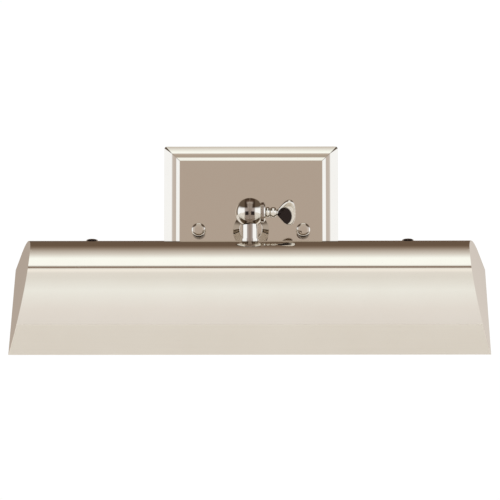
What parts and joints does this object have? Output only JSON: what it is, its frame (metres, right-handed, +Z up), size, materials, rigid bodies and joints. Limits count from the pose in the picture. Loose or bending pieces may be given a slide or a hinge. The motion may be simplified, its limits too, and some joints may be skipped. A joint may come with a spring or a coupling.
{
  "type": "picture light",
  "caption": "Wall picture light: tilting half-round nickel hood with tubular lamps on a ball knuckle, straight arm and square stepped back plate.",
  "frame": {"origin": "on the wall, at the centre of the back plate's rear plane and midway between the wall-box slots", "axes": "+X to the viewer's right along the hood, +Y into the wall, +Z up"},
  "size_m": [0.305, 0.1394, 0.1533],
  "materials": {
    "polished_nickel": "mirror-polished nickel plate on brass",
    "zinc_steel": "zinc-plated steel",
    "green_screw": "green-dyed ground screw",
    "black_insulation": "black lead insulation",
    "white_insulation": "white lead insulation",
    "connector_plastic": "moulded wire connector",
    "holder_ceramic": "glazed porcelain lampholder",
    "contact_brass": "plain brass contacts",
    "lamp_cap_metal": "rolled screw cap",
    "lamp_glass": "clear tubular glass",
    "lamp_stem_glass": "glass stem with support wires",
    "tungsten": "coiled filament"
  },
  "bodies": {
    "wall_arm": {"back_plate": "polished_nickel", "mounting_strap": "zinc_steel", "strap_studs": "zinc_steel", "stud_lock_nuts": "zinc_steel", "cap_nuts": "polished_nickel", "ground_screw": "green_screw", "arm_boss": "polished_nickel", "arm_lock_washer": "zinc_steel", "arm_lock_nut": "zinc_steel", "arm_nipple": "zinc_steel", "arm_tube": "polished_nickel", "knuckle_arm_half": "polished_nickel", "friction_washer": "zinc_steel", "lead_line_arm": "black_insulation", "lead_neutral_arm": "white_insulation", "wire_connectors": "connector_plastic"},
    "clamp_slider": {"clamp_collar": "polished_nickel"},
    "thumb_screw": {"thumb_screw": "polished_nickel"},
    "hood": {"knuckle_hood_half": "polished_nickel", "hood_shell": "polished_nickel", "end_cap_right": "polished_nickel", "end_cap_left": "polished_nickel", "post_saddle": "zinc_steel", "post_lock_washer": "zinc_steel", "post_nut": "zinc_steel", "lamp_bracket_right": "zinc_steel", "lamp_bracket_left": "zinc_steel", "bracket_screws": "polished_nickel", "bracket_nuts": "zinc_steel", "lampholder_right": "holder_ceramic", "lampholder_left": "holder_ceramic", "holder_shell_right": "contact_brass", "holder_shell_left": "contact_brass", "holder_contact_right": "contact_brass", "holder_contact_left": "contact_brass", "holder_screws": "zinc_steel", "lamp_cap_right": "lamp_cap_metal", "lamp_cap_left": "lamp_cap_metal", "lamp_contact_right": "contact_brass", "lamp_contact_left": "contact_brass", "lamp_glass_right": "lamp_glass", "lamp_glass_left": "lamp_glass", "lamp_stem_right": "lamp_stem_glass", "lamp_stem_left": "lamp_stem_glass", "lamp_filament_right": "tungsten", "lamp_filament_left": "tungsten", "lead_line_hood": "black_insulation", "lead_neutral_hood": "white_insulation", "jumper_line": "black_insulation", "jumper_neutral": "white_insulation"}
  },
  "joints": [
    {"name": "hood_tilt", "type": "hinge", "parent": "wall_arm", "child": "hood", "pos_m": [0, -0.1055, 0], "axis": [1, 0, 0], "range_deg": [-90, 15]},
    {"name": "clamp_slide", "type": "slide", "parent": "wall_arm", "child": "clamp_slider", "axis": [1, 0, 0], "range_m": [0, 0.0007]},
    {"name": "thumb_screw_turn", "type": "hinge", "parent": "clamp_slider", "child": "thumb_screw", "pos_m": [0.012, -0.1055, 0], "axis": [1, 0, 0], "range_deg": [0, 360]}
  ],
  "couplings": [
    {"joint": "thumb_screw_turn", "follows": "clamp_slide", "rad_per_m": 8975.9}
  ]
}
